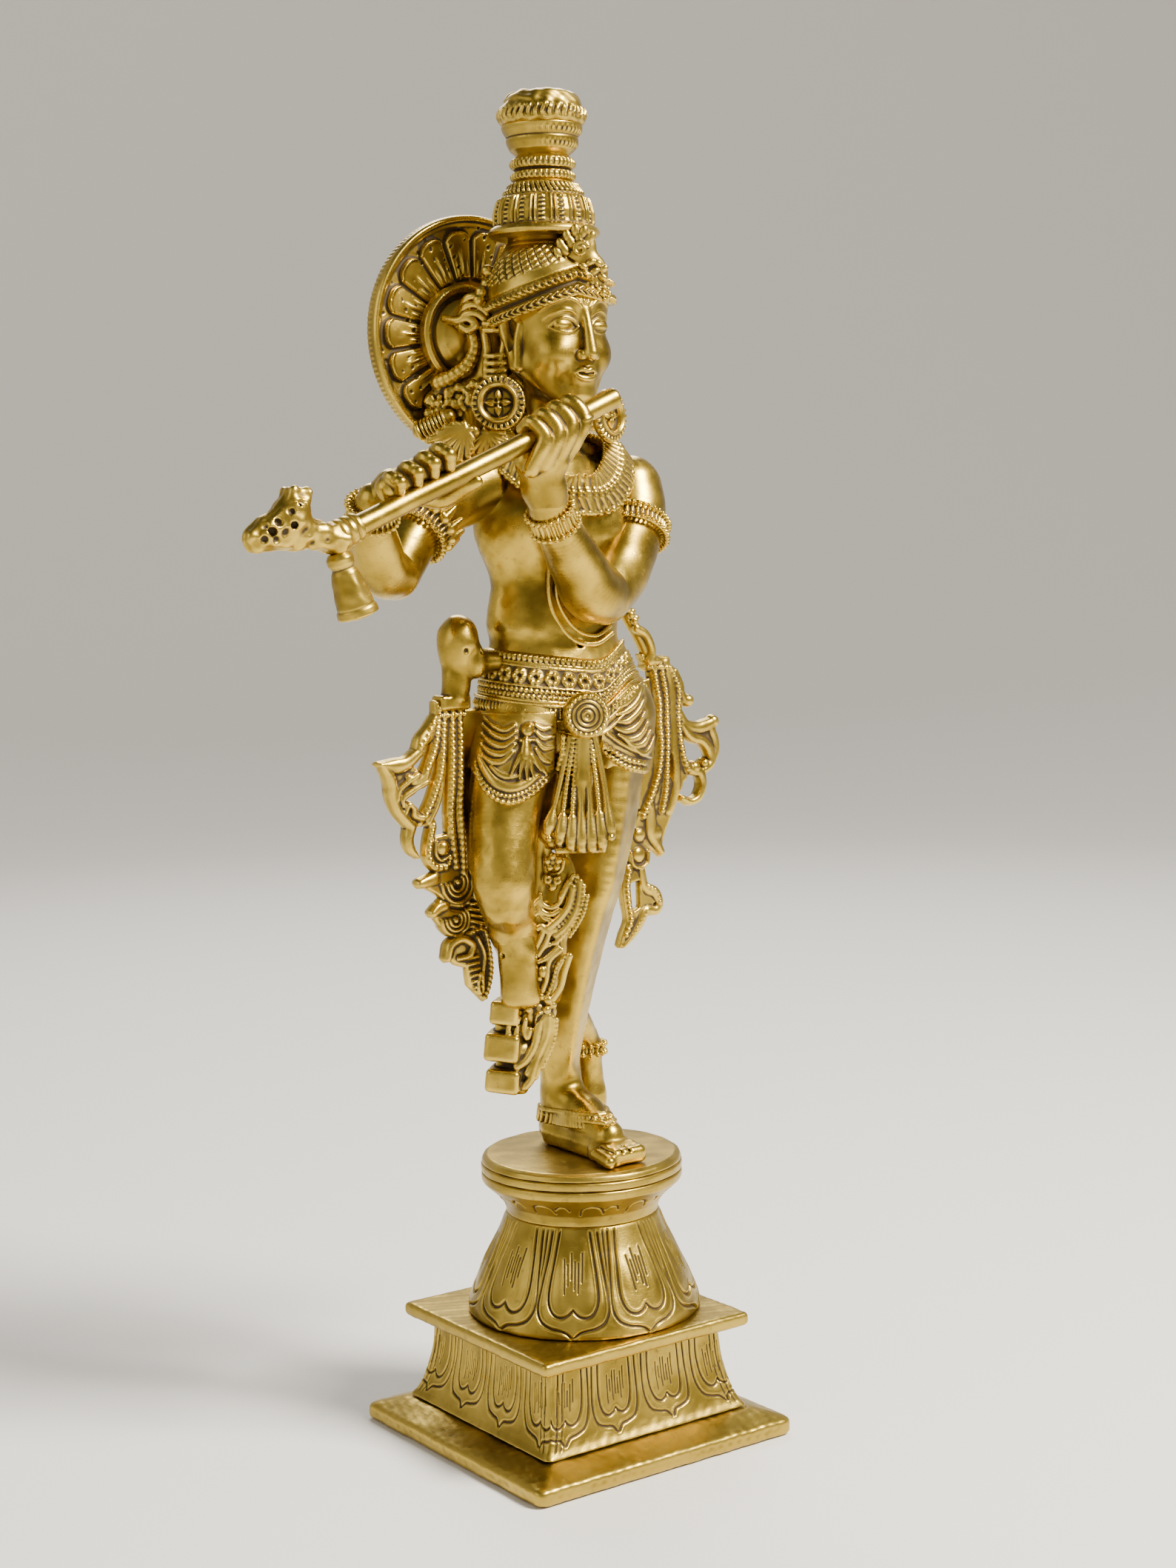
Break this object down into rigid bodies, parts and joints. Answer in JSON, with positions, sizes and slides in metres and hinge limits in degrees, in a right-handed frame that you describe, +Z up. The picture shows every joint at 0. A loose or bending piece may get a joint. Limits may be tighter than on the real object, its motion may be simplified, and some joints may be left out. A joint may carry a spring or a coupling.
{
  "type": "deity figurine",
  "caption": "Cast brass figurine of a crowned flute player with a round halo, standing cross-legged on a lotus pedestal over a square stepped plinth.",
  "frame": {"origin": "centre of the plinth's underside", "axes": "+Z up, the figure faces -Y, the flute's far end points to -X"},
  "size_m": [0.1482, 0.072, 0.3045],
  "materials": {
    "brass_skin": "satin polished cast brass, worn bright on the high spots",
    "brass_chased": "chased cast brass, bright ridges with dark brown patina in the cuts",
    "brass_plinth": "satin aged cast brass with fine scratches and engraved petals",
    "steel_fixings": "plain brushed"
  },
  "bodies": {
    "root": {"base_plate": "brass_plinth", "plinth_skirt": "brass_plinth", "plinth_shelf": "brass_plinth", "lotus_bell": "brass_plinth", "pedestal_cap": "brass_plinth", "fixing_stud": "steel_fixings", "fixing_washer": "steel_fixings", "fixing_nut": "steel_fixings", "toe_pin": "steel_fixings", "left_leg": "brass_skin", "right_leg": "brass_skin", "left_anklet": "brass_chased", "right_anklet": "brass_chased", "hip_wrap": "brass_chased", "belt": "brass_chased", "belt_buckle": "brass_chased", "right_thigh_apron": "brass_chased", "left_thigh_apron": "brass_chased", "centre_tassel": "brass_chased", "scroll_swag": "brass_chased", "knee_drape": "brass_skin", "pleat_tail": "brass_chased", "right_sash": "brass_chased", "right_sash_knot": "brass_skin", "left_sash": "brass_chased", "left_sash_strap": "brass_chased", "torso": "brass_skin", "thread_cord": "brass_chased", "collar": "brass_chased", "left_upper_arm": "brass_skin", "left_forearm": "brass_skin", "left_hand": "brass_skin", "right_upper_arm": "brass_skin", "right_forearm": "brass_skin", "right_hand": "brass_skin", "left_armlet": "brass_chased", "right_armlet": "brass_chased", "left_bracelet": "brass_chased", "right_bracelet": "brass_chased", "flute": "brass_skin", "flute_ferrule": "brass_chased", "flute_bird": "brass_chased", "flute_bell": "brass_chased", "head": "brass_skin", "right_locks": "brass_chased", "left_locks": "brass_chased", "right_earring": "brass_chased", "left_earring": "brass_chased", "halo_dish": "brass_chased", "halo_boss": "brass_chased", "halo_pin": "steel_fixings", "turban": "brass_chased", "brow_roll": "brass_chased", "crown_crest": "brass_chased", "crown_neck": "brass_chased", "crown_bell": "brass_chased", "crown_rings": "brass_chased", "crown_cup": "brass_chased", "crown_knob": "brass_chased"}
  },
  "joints": []
}
